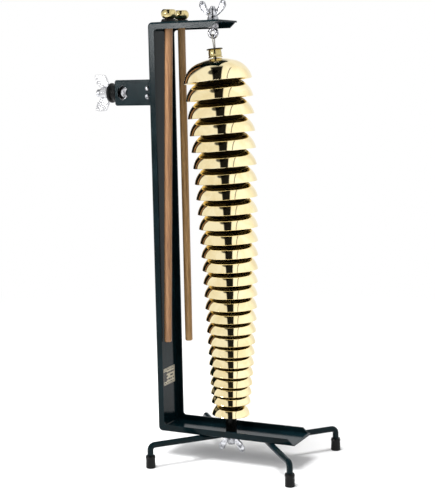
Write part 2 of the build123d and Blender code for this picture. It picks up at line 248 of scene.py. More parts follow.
# ---------------------------------------------------------------- finishes
@dataclass(frozen=True)
class PowderCoat:
    """Glossy black powder coat with a faint orange peel and a few dusty patches."""

    name: str = "black_powder_coat"
    deep: Colour = (0.001, 0.005, 0.006)
    lifted: Colour = (0.002, 0.010, 0.013)
    sheen: Colour = (0.15, 0.45, 0.8)
    peel: float = 0.6
    gloss: float = 0.1
    haze: float = 0.025
    roughness: tuple[float, float] = (0.08, 0.17)

    def build(self) -> bpy.types.Material:
        """Makes the material.

        Returns:
            The material.
        """
        bench = NodeBench(self.name)
        place = bench.place()
        patches = bench.noise(place, 38, 4)
        tone = bench.ramp(patches, [(0.3, self.deep), (0.7, self.lifted)])
        bench.coat(tone, bench.spread(patches, *self.roughness))
        bench.bump(bench.noise(place, 520, 2), 0.00006, self.peel)
        bench.bump(bench.noise(place, 2600, 2), 0.00001, 0.5)
        bench.set(Specular_IOR_Level=self.gloss, Sheen_Weight=self.haze)
        bench.set(Sheen_Roughness=0.4, Sheen_Tint=(*self.sheen, 1))
        return bench.material


@dataclass(frozen=True)
class SpunBrass:
    """Polished brass with fine rings left by the spinning lathe, rougher where it is unpolished and painted
    near-black there as painted shade.
    """

    name: str = "polished_brass"
    bright: Colour = (0.93, 0.81, 0.51)
    tarnish: Colour = (0.84, 0.69, 0.38)
    # Near-black painted shade for the inner faces, where inside is 1.
    painted_inside_shade: Colour = (0.035, 0.026, 0.012)
    roughness: tuple[float, float] = (0.025, 0.07)
    ring_pitch: float = 0.5 * MM
    dulling: float = 0.4

    def build(self) -> bpy.types.Material:
        """Makes the material.

        Its rings follow the attribute named along, and where inside is 1 it is unpolished and painted
        near-black as painted shade.

        Returns:
            The material.
        """
        bench = NodeBench(self.name)
        place = bench.place()
        inside = bench.attribute("inside")
        clouds = bench.noise(place, 46, 4, 0.6, 0.6)
        tone = bench.ramp(clouds, [(0.34, self.tarnish), (0.6, self.bright)])
        rings = bench.add("ShaderNodeTexNoise", noise_dimensions="1D")
        rings.inputs["Scale"].default_value = 1
        rings.inputs["Detail"].default_value = 2
        along = bench.math("DIVIDE", bench.attribute("along"), self.ring_pitch)
        bench.join(along, rings.inputs["W"])
        smears = bench.spread(bench.noise(place, 150, 3), *self.roughness)
        dulled = bench.math("ADD", smears, bench.math("MULTIPLY", inside, self.dulling))
        # Painted shade: where inside is 1 the colour turns near-black, on top of the rougher unpolished
        # finish.
        bench.coat(bench.blend(inside, tone, self.painted_inside_shade), dulled)
        bench.bump(rings.outputs["Fac"], 0.000012, 0.6)
        bench.bump(clouds, 0.0002, 0.35)
        bench.set(Metallic=1.0)
        return bench.material


class Grain(Enum):
    """Tones of the two beaters' wood."""

    TAN = ((0.19, 0.085, 0.035), (0.42, 0.22, 0.10))
    HONEY = ((0.20, 0.105, 0.035), (0.44, 0.26, 0.10))


@dataclass(frozen=True)
class StickWood:
    """Oiled hardwood dowel with long grain and open pores."""

    name: str
    grain: Grain
    pore_share: float = 0.25

    def build(self) -> bpy.types.Material:
        """Makes the material, with its grain along Z.

        Returns:
            The material.
        """
        bench = NodeBench(self.name)
        dark, light = self.grain.value
        middle = tuple(0.45 * a + 0.55 * b for a, b in zip(dark, light))
        figure = bench.noise(bench.place((1, 1, 0.05)), 420, 5, 0.62, 1.4)
        pores = bench.noise(bench.place((1, 1, 0.025)), 2400, 2)
        broad = bench.math("MULTIPLY", figure, 1 - self.pore_share)
        tone = bench.math("ADD", broad, bench.math("MULTIPLY", pores, self.pore_share))
        stops = [(0.36, dark), (0.5, middle), (0.62, light)]
        bench.coat(bench.ramp(tone, stops), bench.spread(pores, 0.55, 0.36))
        bench.bump(pores, 0.00008, 0.5)
        bench.bump(figure, 0.0001, 0.4)
        bench.set(Coat_Weight=0.12, Coat_Roughness=0.3)
        return bench.material


@dataclass(frozen=True)
class PlatedMetal:
    """Plated or cast metal: how bright, how smooth and how lumpy it is, its colour mottled between a light
    and a dark tone, partly stains and partly painted reflection.
    """

    name: str
    light: Colour
    shade: Colour
    roughness: tuple[float, float]
    lump_scale: float
    lump_depth: float

    def build(self) -> bpy.types.Material:
        """Makes the material.

        Returns:
            The material.
        """
        bench = NodeBench(self.name)
        place = bench.place()
        # Partly stains, partly painted reflection: noise mottles the colour between the light and the dark
        # tone.
        stains_and_painted_reflections = bench.noise(place, 260, 4)
        tone = bench.ramp(stains_and_painted_reflections, [(0.32, self.shade), (0.62, self.light)])
        bench.coat(tone, bench.spread(bench.noise(place, 900, 3), *self.roughness))
        bench.bump(bench.noise(place, self.lump_scale, 3), self.lump_depth, 0.8)
        bench.set(Metallic=1.0)
        return bench.material


@dataclass(frozen=True)
class MouldedBlack:
    """Black rubber or plastic straight from its mould, with a faint bloom on its skin."""

    name: str
    tone: float
    roughness: tuple[float, float]
    grain_scale: float
    grain_depth: float
    bare: Colour = (0.6, 0.68, 0.66)
    bloomed: Colour = (1.5, 1.6, 1.55)
    gloss: float = 0.14

    def build(self) -> bpy.types.Material:
        """Makes the material.

        Returns:
            The material.
        """
        bench = NodeBench(self.name)
        place = bench.place()
        bloom = bench.noise(place, 120, 4)
        low, high = (tuple(self.tone * share for share in tint) for tint in (self.bare, self.bloomed))
        bench.coat(bench.ramp(bloom, [(0.35, low), (0.68, high)]), bench.spread(bloom, *self.roughness))
        bench.bump(bench.noise(place, self.grain_scale, 3), self.grain_depth, 0.7)
        bench.set(Specular_IOR_Level=self.gloss)
        return bench.material


@dataclass(frozen=True)
class BraidedCord:
    """Pale twisted cord, its strands shown by slanting ridges, with painted shade in the grooves between
    them.
    """

    name: str = "cord"
    light: Colour = (0.70, 0.67, 0.60)
    dark: Colour = (0.30, 0.28, 0.24)

    def build(self) -> bpy.types.Material:
        """Makes the material.

        Returns:
            The material.
        """
        bench = NodeBench(self.name)
        twist = bench.add("ShaderNodeTexWave", wave_type="BANDS", bands_direction="DIAGONAL")
        twist.inputs["Scale"].default_value = 420
        twist.inputs["Distortion"].default_value = 1.5
        bench.join(bench.place(), twist.inputs["Vector"])
        strands = twist.outputs["Fac"]
        # Painted shade: the grooves between strands are coloured darker, following the ridges' height.
        tone = bench.ramp(strands, [(0.1, self.dark), (0.7, self.light)])
        bench.coat(tone, bench.spread(strands, 0.75, 0.5))
        bench.bump(strands, 0.0002, 0.7)
        bench.set(Sheen_Weight=0.2)
        return bench.material


@dataclass(frozen=True)
class PrintedLabel:
    """Cream sticker with a plain border and rows of dark bars that spell nothing."""

    name: str = "printed_label"
    paper: Colour = (0.66, 0.60, 0.45)
    aged: float = 0.86
    ink: Colour = (0.02, 0.018, 0.015)
    rows: float = 5
    columns: float = 9
    row_offset: float = 7.3
    gap_level: float = 0.42
    half_bar: float = 0.24
    printed: Point = (0.42, 0.40)
    panel_at: float = 0.2
    panel: Point = (0.12, 0.3)
    border: Point = (0.475, 0.45)

    def build(self) -> bpy.types.Material:
        """Makes the material, on Object coordinates across the label's face.

        Returns:
            The material.
        """
        bench = NodeBench(self.name)
        low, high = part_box("label_plate")
        size = [high[1] - low[1], high[2] - low[2]]
        source = bench.add("ShaderNodeTexCoord")
        split = bench.add("ShaderNodeSeparateXYZ")
        bench.join(source.outputs["Object"], split.inputs["Vector"])
        across = bench.math("DIVIDE", bench.math("SUBTRACT", split.outputs["Y"], low[1]), size[0])
        upward = bench.math("DIVIDE", bench.math("SUBTRACT", split.outputs["Z"], low[2]), size[1])
        inside = self.panel_mask(bench, across, upward, 0.5, self.printed)
        row = bench.math("FRACT", bench.math("MULTIPLY", upward, self.rows), 0)
        bars = self.band(bench, row, 0.5, self.half_bar)
        blocks = bench.add("ShaderNodeTexNoise", noise_dimensions="2D")
        blocks.inputs["Scale"].default_value = 1
        blocks.inputs["Detail"].default_value = 0
        grid = bench.add("ShaderNodeCombineXYZ")
        bench.join(bench.math("MULTIPLY", across, self.columns), grid.inputs["X"])
        floor = bench.math("FLOOR", bench.math("MULTIPLY", upward, self.rows), 0)
        bench.join(bench.math("MULTIPLY", floor, self.row_offset), grid.inputs["Y"])
        bench.join(grid.outputs["Vector"], blocks.inputs["Vector"])
        gaps = bench.math("GREATER_THAN", blocks.outputs["Fac"], self.gap_level)
        panel = self.panel_mask(bench, across, upward, self.panel_at, self.panel)
        marks = bench.math("MAXIMUM", bench.math("MULTIPLY", bars, gaps), panel)
        outer, inner = (self.panel_mask(bench, across, upward, 0.5, (half, half)) for half in self.border)
        border = bench.math("SUBTRACT", outer, inner)
        inked = bench.math("MAXIMUM", bench.math("MULTIPLY", marks, inside), border)
        fibres = bench.noise(bench.place(), 900, 4)
        paper = bench.ramp(fibres, [(0.3, tuple(self.aged * c for c in self.paper)), (0.7, self.paper)])
        bench.coat(bench.blend(inked, paper, self.ink), bench.spread(fibres, 0.35, 0.5))
        bench.bump(fibres, 0.00002, 0.5)
        return bench.material

    def panel_mask(
        self, bench: NodeBench, across: Socket, upward: Socket, centre: float, half: Point
    ) -> Socket:
        """1 inside a rectangle at half of the label's height.

        Args:
            bench: The graph to work in.
            across: Share of the width.
            upward: Share of the height.
            centre: Where the rectangle's middle lies across the label.
            half: Half the rectangle's width and height.

        Returns:
            The mask.
        """
        wide = self.band(bench, across, centre, half[0])
        return bench.math("MULTIPLY", wide, self.band(bench, upward, 0.5, half[1]))

    @staticmethod
    def band(bench: NodeBench, value: Socket, centre: float, half_width: float) -> Socket:
        """1 where a value lies near a centre.

        Args:
            bench: The graph to work in.
            value: The value tested.
            centre: Middle of the band.
            half_width: Half its width.

        Returns:
            1 inside the band and 0 outside.
        """
        distance = bench.math("ABSOLUTE", bench.math("SUBTRACT", value, centre), 0)
        return bench.math("LESS_THAN", distance, half_width)


class Finishes:
    """Every finish of the bell tree, made once."""

    def __init__(self) -> None:
        """Makes the materials."""
        self.powder = PowderCoat().build()
        self.bell_brass = SpunBrass().build()
        self.fitting_brass = SpunBrass(
            "turned_brass", (0.66, 0.55, 0.28), (0.32, 0.26, 0.10), roughness=(0.09, 0.2), ring_pitch=0.4 * MM
        ).build()
        self.tan_wood = StickWood("tan_wood", Grain.TAN).build()
        self.honey_wood = StickWood("honey_wood", Grain.HONEY).build()
        self.chrome = PlatedMetal(
            "chrome_plate", (0.64, 0.65, 0.68), (0.03, 0.032, 0.04), (0.05, 0.14), 420, 0.0002
        ).build()
        self.zinc = PlatedMetal(
            "zinc_steel", (0.60, 0.60, 0.62), (0.14, 0.14, 0.16), (0.16, 0.34), 1100, 0.00003
        ).build()
        self.cast = PlatedMetal(
            "die_cast_zinc", (0.80, 0.80, 0.81), (0.42, 0.42, 0.44), (0.2, 0.34), 700, 0.00012
        ).build()
        self.rubber = MouldedBlack("black_rubber", 0.003, (0.2, 0.36), 1500, 0.00004).build()
        self.plastic = MouldedBlack("black_plastic", 0.004, (0.2, 0.36), 900, 0.00003).build()
        self.bead = MouldedBlack("bead_plastic", 0.11, (0.4, 0.6), 1300, 0.00003).build()
        self.cord = BraidedCord().build()
        self.label = PrintedLabel().build()


# ---------------------------------------------------------------- mesh work
@dataclass(frozen=True)
class Bow:
    """A circular arc in a plane, through three points."""

    start: Point
    through: Point
    end: Point

    def circle(self) -> tuple[complex, float, float]:
        """The circle that the arc lies on.

        Returns:
            Its centre, and the arc's first angle and signed sweep.
        """
        a, b, c = (complex(*point) for point in (self.start, self.through, self.end))
        ratio = (c - a) / (b - a)
        centre = a + (b - a) * (ratio - abs(ratio) ** 2) / (ratio - ratio.conjugate())
        return centre, cmath.phase(a - centre), cmath.phase((c - centre) / (a - centre))

    def at(self, share: float) -> tuple[Point, Point]:
        """A place on the arc.

        Args:
            share: 0 at the start and 1 at the end.

        Returns:
            The point and the unit heading there.
        """
        centre, first, sweep = self.circle()
        spoke = cmath.rect(1, first + sweep * share)
        spot = centre + abs(complex(*self.start) - centre) * spoke
        heading = spoke * 1j * math.copysign(1, sweep)
        return (spot.real, spot.imag), (heading.real, heading.imag)


def arc(start: Point, through: Point, end: Point, steps: int) -> list[Point]:
    """Points on the circular arc through three points, without the first.

    Args:
        start: Where the arc starts.
        through: A point on it.
        end: Where it ends.
        steps: Number of pieces.

    Returns:
        The points after start, up to end.
    """
    bow = Bow(start, through, end)
    return [bow.at(step / steps)[0] for step in range(1, steps + 1)]


def in_mm(*points: Point) -> list[Point]:
    """Points that are given in millimetres."""
    return [(x * MM, z * MM) for x, z in points]


def rounded(corners: Sequence[Corner], steps: int = 5) -> list[Point]:
    """A closed outline with rounded corners.

    Args:
        corners: Position of each corner, and how far along its sides the rounding reaches.
        steps: Pieces per corner.

    Returns:
        The outline's points.
    """
    outline = []
    for index, (x, y, reach) in enumerate(corners):
        corner = complex(x, y)
        sides = []
        for other in (corners[index - 1], corners[(index + 1) % len(corners)]):
            side = complex(other[0], other[1]) - corner
            sides.append(corner + side / abs(side) * reach)
        for step in range(steps + 1):
            share = step / steps
            spot = (1 - share) ** 2 * sides[0] + 2 * share * (1 - share) * corner + share**2 * sides[1]
            outline.append((spot.real, spot.imag))
    return outline


class Maker:
    """Shapes meshes and turns them into pieces of the model."""

    SOFTENED_ABOVE = math.radians(30)
    SHARP_ABOVE = math.radians(35)
    FADE_PER_POINT = 0.25
    STEPS_PER_TURN = 28

    @staticmethod
    def spun(
        profile: Sequence[Point], segments: int, closed: bool = True, inner_from: int | None = None
    ) -> bmesh.types.BMesh:
        """A solid of revolution about Z.

        Args:
            profile: Radius and height of each point.
            segments: Steps round the turn.
            closed: Whether the last point joins the first.
            inner_from: First point on the inside, where the attribute named inside becomes 1.

        Returns:
            The mesh, with the distance along the profile in the attribute named along.
        """
        mesh = bmesh.new()
        along = mesh.verts.layers.float.new("along")
        inside = mesh.verts.layers.float.new("inside")
        corners = [mesh.verts.new((radius, 0, height)) for radius, height in profile]
        travelled = 0.0
        for before, after in zip(corners, corners[1:]):
            travelled += (after.co - before.co).length
            after[along] = travelled
        for depth, corner in enumerate(corners[inner_from:] if inner_from else ()):
            corner[inside] = min(1.0, Maker.FADE_PER_POINT * depth)
        edges = [mesh.edges.new(pair) for pair in zip(corners, corners[1:])]
        if closed:
            edges.append(mesh.edges.new((corners[-1], corners[0])))
        bmesh.ops.spin(
            mesh,
            geom=corners + edges,
            cent=(0, 0, 0),
            axis=(0, 0, 1),
            angle=FULL_TURN,
            steps=segments,
            use_merge=True,
        )
        bmesh.ops.remove_doubles(mesh, verts=mesh.verts, dist=1e-7)
        bmesh.ops.recalc_face_normals(mesh, faces=mesh.faces)
        return mesh

    @staticmethod
    def plate(outline: Sequence[Point], thickness: float) -> bmesh.types.BMesh:
        """A flat plate in the XZ plane, centred on Y.

        Args:
            outline: Corners of the plate, X and Z.
            thickness: Size along Y.

        Returns:
            The mesh.
        """
        mesh = bmesh.new()
        corners = [mesh.verts.new((x, -thickness / 2, z)) for x, z in outline]
        face = mesh.faces.new(corners)
        grown = bmesh.ops.extrude_face_region(mesh, geom=[face])["geom"]
        moved = [item for item in grown if isinstance(item, bmesh.types.BMVert)]
        bmesh.ops.translate(mesh, verts=moved, vec=(0, thickness, 0))
        bmesh.ops.recalc_face_normals(mesh, faces=mesh.faces)
        return mesh

    @staticmethod
    def soften(mesh: bmesh.types.BMesh, width: float, segments: int = 3) -> None:
        """Rounds the sharp edges of a mesh.

        Args:
            mesh: The mesh to change.
            width: How far the rounding reaches.
            segments: Steps across it.
        """
        sharp = [edge for edge in mesh.edges if edge.calc_face_angle(0) > Maker.SOFTENED_ABOVE]
        bmesh.ops.bevel(
            mesh,
            geom=sharp,
            offset=width,
            offset_type="OFFSET",
            segments=segments,
            profile=0.5,
            affect="EDGES",
            clamp_overlap=True,
            material=-1,
        )

    @staticmethod
    def thread(radius: float, pitch: float, turns: int, start: float) -> bmesh.types.BMesh:
        """The ridge of a screw thread about Z.

        Args:
            radius: Radius of the crest.
            pitch: Rise of one turn.
            turns: Number of turns.
            start: Height of the first turn.

        Returns:
            The mesh.
        """
        mesh = bmesh.new()
        root, half_foot, half_crest = radius - 0.55 * pitch, 0.42 * pitch, 0.1 * pitch
        outline = [(root, -half_foot), (radius, -half_crest), (radius, half_crest), (root, half_foot)]
        section = mesh.faces.new([mesh.verts.new((x, 0, start + z)) for x, z in outline])
        bmesh.ops.spin(
            mesh,
            geom=[section],
            cent=(0, 0, 0),
            axis=(0, 0, 1),
            dvec=(0, 0, pitch / Maker.STEPS_PER_TURN),
            angle=FULL_TURN * turns,
            steps=Maker.STEPS_PER_TURN * turns,
            use_duplicate=False,
        )
        bmesh.ops.recalc_face_normals(mesh, faces=mesh.faces)
        return mesh

    @staticmethod
    def merge(parts: Iterable[bmesh.types.BMesh]) -> bmesh.types.BMesh:
        """Joins several meshes into one and frees them.

        Args:
            parts: The meshes.

        Returns:
            The joined mesh.
        """
        whole = bmesh.new()
        for part in parts:
            carrier = bpy.data.meshes.new("carrier")
            part.to_mesh(carrier)
            part.free()
            whole.from_mesh(carrier)
            bpy.data.meshes.remove(carrier)
        return whole

    @staticmethod
    def placed(mesh: bmesh.types.BMesh, place: Matrix) -> bmesh.types.BMesh:
        """Moves a mesh by a matrix and returns it."""
        bmesh.ops.transform(mesh, matrix=place, verts=mesh.verts)
        return mesh

    @staticmethod
    def piece(
        mesh: bmesh.types.BMesh,
        name: str,
        material: bpy.types.Material,
        body: str,
        slot: str,
        stands_for: Sequence[str] = (),
    ) -> None:
        """slot: The material slot's name. Not used.
            stands_for: CAD nodes that it replaces.
        """
        data = bpy.data.meshes.new(name)
        mesh.to_mesh(data)
        mesh.free()
        data.polygons.foreach_set("use_smooth", [True] * len(data.polygons))
        data.set_sharp_from_angle(angle=Maker.SHARP_ABOVE)
        data.materials.append(material)
        made = bpy.data.objects.new(name, data)
        bpy.context.scene.collection.objects.link(made)
        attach(made, body)
        if stands_for:
            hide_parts(*stands_for)
        log.info("%s: %d faces on %s", name, len(data.polygons), body)

    @staticmethod
    def dress(material: bpy.types.Material, *nodes: str) -> None:
        """Gives CAD nodes their finish.

        Args:
            material: The finish.
            *nodes: Names of the nodes.
        """
        for node in nodes:
            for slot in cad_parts[node].material_slots:
                slot.material = material
            log.info("%s: %s", node, material.name)


# ---------------------------------------------------------------- bells
@dataclass
class BellLine:
    """The bells on their bowed cord, with the ferrule above and the rubber tube below.

    The places on a bell's section are shares of its rim radius, outwards and down from its crown.
    """

    finishes: Finishes
    count: int = 26
    line_bottom: float = 50 * MM
    line_top: float = 431 * MM
    stud_x: float = 28.3 * MM
    bow_x: float = 29.7 * MM
    ferrule_x: float = 17.6 * MM
    top_rim: float = 397.7 * MM
    top_radius: float = 35.4 * MM
    taper: float = 0.44 * MM
    taper_growth: float = 0.0063 * MM
    top_pitch: float = 18.3 * MM
    pitch_step: float = 0.371 * MM
    last_drop: float = 4 * MM
    wall: float = 1.0 * MM
    hole: float = 1.5 * MM
    crown_share: float = 0.66
    crown_at: Point = (0.38, 0.052)
    shoulder_at: Point = (0.61, 0.126)
    side_at: Point = (0.866, 0.334)
    segments: int = 112
    cord_bore: float = 1.05 * MM
    tube_bore: float = 3.0 * MM

    def radius(self, index: int) -> float:
        """Rim radius of a bell, counted from the top."""
        return self.top_radius - self.taper * index - self.taper_growth * index**2

    def crown(self, index: int) -> float:
        """Height of the top of a bell's crown.

        Args:
            index: The bell's number, from 0 at the top.

        Returns:
            The height above the floor. The lowest bell hangs a little further down.
        """
        drop = self.top_pitch * index - self.pitch_step * index * (index - 1) / 2
        if index == self.count - 1:
            drop += self.last_drop
        return self.top_rim - drop + self.crown_share * self.radius(index)

    def place(self, height: float) -> Matrix:
        """The frame of the line at a height, its Z up along the line.

        Args:
            height: Height above the floor.

        Returns:
            Rotation and place as one matrix.
        """
        middle = (self.line_bottom + self.line_top) / 2
        bow = Bow((self.stud_x, self.line_bottom), (self.bow_x, middle), (self.ferrule_x, self.line_top))
        (x, z), heading = bow.at((height - self.line_bottom) / (self.line_top - self.line_bottom))
        lean = math.atan2(heading[0], heading[1])
        return Matrix.Translation((x, 0, z)) @ Matrix.Rotation(lean, 4, "Y")

    def profile(self, radius: float) -> tuple[list[Point], int]:
        """Section of a bell from the hole out to the rim and back inside.

        Args:
            radius: Rim radius.

        Returns:
            Radius and height from the crown of each point, and the index of the first one inside.
        """
        wall = self.wall
        shares = (self.crown_at, self.shoulder_at, self.side_at, (1, self.crown_share))
        crown, shoulder, side, lip = ((out * radius, -down * radius) for out, down in shares)
        crown_slope = math.atan2(crown[1] - shoulder[1], shoulder[0] - crown[0])
        side_slope = math.atan2(shoulder[1] - side[1], side[0] - shoulder[0])

        def under(spot: Point, slope: float) -> Point:
            """The inner face's place under a point of the outer one."""
            return spot[0] - wall * math.sin(slope), spot[1] - wall * math.cos(slope)

        edge = 0.25 * wall
        outer = [(self.hole, -edge), (self.hole + edge, 0)]
        outer += arc(outer[-1], crown, shoulder, 9)
        outer += arc(outer[-1], side, (radius, lip[1] + edge), 16)
        rim = [(radius - edge, lip[1]), (radius - wall + edge, lip[1]), (radius - wall, lip[1] + edge)]
        inner = arc(rim[-1], under(side, side_slope), under(shoulder, crown_slope), 14)
        inner += arc(inner[-1], under(crown, crown_slope), (self.hole, -wall), 8)
        return outer + rim + inner, len(outer + rim) + 2

    def build_bells(self) -> None:
        """Spins every bell and strings it on the line."""
        for index in range(self.count):
            name = f"bell_{index + 1:02d}"
            profile, inner_from = self.profile(self.radius(index))
            # From inner_from on, the bell's inner faces are painted near-black as painted shade.
            mesh = Maker.spun(profile, self.segments, inner_from=inner_from)
            Maker.placed(mesh, self.place(self.crown(index)))
            Maker.piece(mesh, f"spun_{name}", self.finishes.bell_brass, name, "polished_brass", [name])

    def build_ferrule(self) -> None:
        """Turns the brass ferrule that closes the line. Its flange and its bore are unpolished and painted
        near-black as painted shade.
        """
        base = self.crown(0) + 0.3 * MM
        height = self.line_top - base
        profile = [(self.cord_bore, 0), *in_mm((7.1, 0), (7.4, 0.3), (7.4, 1.0), (6.6, 1.7))]
        profile += arc(profile[-1], (6.9 * MM, 4.6 * MM), (6.5 * MM, height - 2.4 * MM), 8)
        flange = len(profile)
        profile += arc(profile[-1], (7.0 * MM, height - 1.7 * MM), (8.2 * MM, height - 1.3 * MM), 4)
        profile += arc(profile[-1], (8.4 * MM, height - 0.8 * MM), (8.1 * MM, height - 0.35 * MM), 4)
        profile += [(7.7 * MM, height - 0.1 * MM), (3.2 * MM, height), (self.cord_bore, height)]
        # From the flange on, the turned brass is painted near-black as painted shade.
        mesh = Maker.spun(profile, 72, inner_from=flange)
        Maker.placed(mesh, self.place(base))
        Maker.piece(mesh, "turned_ferrule", self.finishes.fitting_brass, "stand", "brass", ["top_ferrule"])

    def build_tube(self) -> None:
        """Moulds the rubber tube that the lowest bell rests over."""
        low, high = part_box("rest_tube")
        radius = (high[0] - low[0]) / 2
        length = high[2] - low[2]
        profile = [(self.tube_bore, 0), (radius, 0), (radius, length), (self.tube_bore, length)]
        mesh = Maker.spun(profile, 64)
        Maker.soften(mesh, 0.45 * MM)
        Maker.placed(mesh, Matrix.Translation((self.stud_x, 0, low[2])))
        Maker.piece(mesh, "moulded_tube", self.finishes.rubber, "stand", "black_rubber", ["rest_tube"])

    def build(self) -> None:
        """Makes every piece of the line."""
        self.build_bells()
        self.build_ferrule()
        self.build_tube()
        Maker.dress(self.finishes.cord, "line_cord", "hanger_cord")
        Maker.dress(self.finishes.bead, "spacer_beads")


# ---------------------------------------------------------------- hardware
SLIM_WING = (
    (0.23, 0.15, 0.02),
    (0.49, 0.29, 0.08),
    (0.78, 0.47, 0.12),
    (1.0, 0.72, 0.14),
    (0.93, 1.0, 0.13),
    (0.64, 1.0, 0.13),
    (0.48, 0.68, 0.1),
    (0.36, 0.53, 0.05),
    (0.23, 0.48, 0.02),
)
BROAD_WING = (
    (0.25, 0.09, 0.02),
    (0.62, 0.13, 0.14),
    (1.0, 0.34, 0.12),
    (1.0, 1.0, 0.14),
    (0.55, 0.86, 0.16),
    (0.25, 0.6, 0.02),
)


@dataclass
class WingNut:
    """A wing nut: a turned hub with two plates that spread from it.

    A wing's corners are shares of the half span and the height, each with its rounding, and its
    ribs are bars across both faces, sized in shares of the half span.
    """

    name: str
    node: str
    body: str
    slot: str
    material: bpy.types.Material
    place: Matrix
    bore: float
    half_span: float
    height: float
    hub: float
    wing: Sequence[Corner]
    ribs: int = 0
    plate: float = 0.17
    rib_plate: float = 0.22
    rib_start: float = 0.5
    rib_step: float = 0.13
    rib_width: float = 0.06
    rib_ends: Point = (0.36, 0.86)

    def hub_mesh(self) -> bmesh.types.BMesh:
        """Spins the hub.

        Returns:
            The hub.
        """
        h = self.height
        profile = [(self.bore, 0), (self.hub, 0), (self.hub, 0.08 * h)]
        profile += arc(profile[-1], (0.86 * self.hub, 0.15 * h), (0.8 * self.hub, 0.24 * h), 4)
        profile += [(0.77 * self.hub, 0.48 * h)]
        profile += arc(profile[-1], (0.71 * self.hub, 0.55 * h), (0.58 * self.hub, 0.59 * h), 4)
        profile += [(self.bore + 0.4 * MM, 0.6 * h), (self.bore, 0.585 * h)]
        mesh = Maker.spun(profile, 48)
        Maker.soften(mesh, 0.25 * MM, 2)
        return mesh

    def wing_mesh(self, side: int) -> bmesh.types.BMesh:
        """Cuts one wing from plate and rounds its edges.

        Args:
            side: 1 for the wing along +X, -1 for the other.

        Returns:
            The wing.
        """
        s, h = self.half_span, self.height
        wing = Maker.plate(rounded([(x * s, z * h, reach * s) for x, z, reach in self.wing]), self.plate * s)
        Maker.soften(wing, 0.035 * s, 3)
        parts = [wing]
        low, high = self.rib_ends
        for number in range(self.ribs):
            left = self.rib_start + self.rib_step * number
            right = left + self.rib_width
            corners = ((left, low), (left, high), (right, high), (right, low))
            rib = Maker.plate(rounded([(x * s, z * h, 0.02 * s) for x, z in corners], 2), self.rib_plate * s)
            Maker.soften(rib, 0.015 * s, 2)
            parts.append(rib)
        mesh = Maker.merge(parts)
        if side < 0:
            Maker.placed(mesh, Matrix.Rotation(math.pi, 4, "Z"))
        return mesh

    def build(self) -> None:
        """Makes the nut as one piece."""
        mesh = Maker.merge([self.hub_mesh(), self.wing_mesh(1), self.wing_mesh(-1)])
        Maker.placed(mesh, self.place)
        Maker.piece(mesh, self.name, self.material, self.body, self.slot, [self.node])


